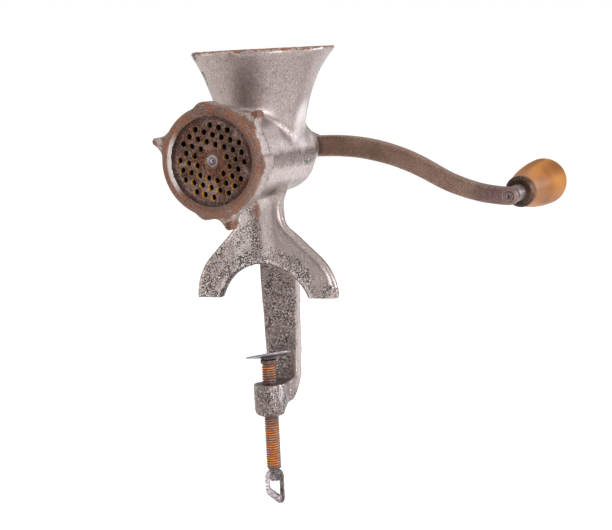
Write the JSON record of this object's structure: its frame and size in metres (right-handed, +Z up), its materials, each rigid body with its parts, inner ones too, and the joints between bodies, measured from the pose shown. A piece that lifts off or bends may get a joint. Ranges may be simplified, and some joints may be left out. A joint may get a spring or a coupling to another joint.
{
  "type": "hand crank meat grinder",
  "caption": "Old hand crank meat grinder with a flared hopper, eared ring nut, perforated cutter plate, S-curved crank with a wooden grip, and a screw clamp for a table edge.",
  "frame": {"origin": "on the clamp screw's axis, level with the undersides of the two feet, where the top of the table is gripped", "axes": "+Z up along the clamp screw, -Y towards the plate where the meat leaves, +Y towards the crank, +X to the side where the crank arm rests"},
  "size_m": [0.2031, 0.2106, 0.2849],
  "materials": {
    "tinned_iron": "worn tin plate over cast iron, pitted",
    "nut_iron": "worn tin plate with brown rust",
    "plate_steel": "dark brown patina",
    "auger_iron": "worn tin plate",
    "bright_steel": "worn bright",
    "crank_iron": "dark brown patina",
    "spindle_steel": "dark brown patina",
    "turned_wood": "old varnish",
    "rusted_steel": "orange rust in the thread, dark crests",
    "dark_steel": "dark, worn at the edge",
    "loop_iron": "worn tin plate, pitted"
  },
  "bodies": {
    "frame": {"body_casting": "tinned_iron", "plate_key_pin": "plate_steel"},
    "rotor": {"auger": "auger_iron", "auger_stud": "bright_steel", "cutter_knife": "plate_steel", "thrust_washer": "bright_steel", "crank_arm": "crank_iron", "handle_spindle": "spindle_steel", "handle_collar": "crank_iron", "end_washer": "spindle_steel"},
    "grip": {"wooden_grip": "turned_wood"},
    "plate": {"cutter_plate": "plate_steel"},
    "nut": {"ring_nut": "nut_iron"},
    "washer": {"crank_washer": "crank_iron"},
    "wing_screw": {"crank_screw": "crank_iron"},
    "screw_carrier": {"pad_collar": "rusted_steel"},
    "screw": {"clamp_screw": "rusted_steel", "screw_loop": "loop_iron", "loop_rivet": "dark_steel"},
    "pad": {"clamp_pad": "dark_steel"}
  },
  "joints": [
    {"name": "crank_turn", "type": "hinge", "parent": "frame", "child": "rotor", "pos_m": [0, 0, 0.09], "axis": [0, 1, 0], "continuous": true},
    {"name": "grip_spin", "type": "hinge", "parent": "rotor", "child": "grip", "pos_m": [0.1394, 0.0682, 0.056], "axis": [0, 0.9984, 0.0558], "continuous": true},
    {"name": "plate_slide", "type": "slide", "parent": "frame", "child": "plate", "axis": [0, -1, 0], "range_m": [0, 0.0121]},
    {"name": "nut_turn", "type": "hinge", "parent": "plate", "child": "nut", "pos_m": [0, -0.055, 0.09], "axis": [0, -1, 0], "range_deg": [0, 1440]},
    {"name": "washer_slide", "type": "slide", "parent": "rotor", "child": "washer", "axis": [0, 1, 0], "range_m": [0, 0.0101]},
    {"name": "wing_turn", "type": "hinge", "parent": "washer", "child": "wing_screw", "pos_m": [0, 0.08, 0.09], "axis": [0, 1, 0], "range_deg": [0, 2880]},
    {"name": "clamp_travel", "type": "slide", "parent": "frame", "child": "screw_carrier", "axis": [0, 0, 1], "range_m": [-0.012, 0.032]},
    {"name": "clamp_turn", "type": "hinge", "parent": "screw_carrier", "child": "screw", "pos_m": [0, 0, -0.08], "axis": [0, 0, 1], "range_deg": [-2820, 7560]},
    {"name": "pad_tilt", "type": "hinge", "parent": "screw_carrier", "child": "pad", "pos_m": [0, 0, -0.0351], "axis": [0.506, 0.8625, 0], "range_deg": [0, 22.4]}
  ],
  "couplings": [
    {"joint": "plate_slide", "follows": "nut_turn", "m_per_rad": 0.00047746},
    {"joint": "washer_slide", "follows": "wing_turn", "m_per_rad": 0.00019894},
    {"joint": "clamp_travel", "follows": "clamp_turn", "m_per_rad": 0.00023873}
  ]
}
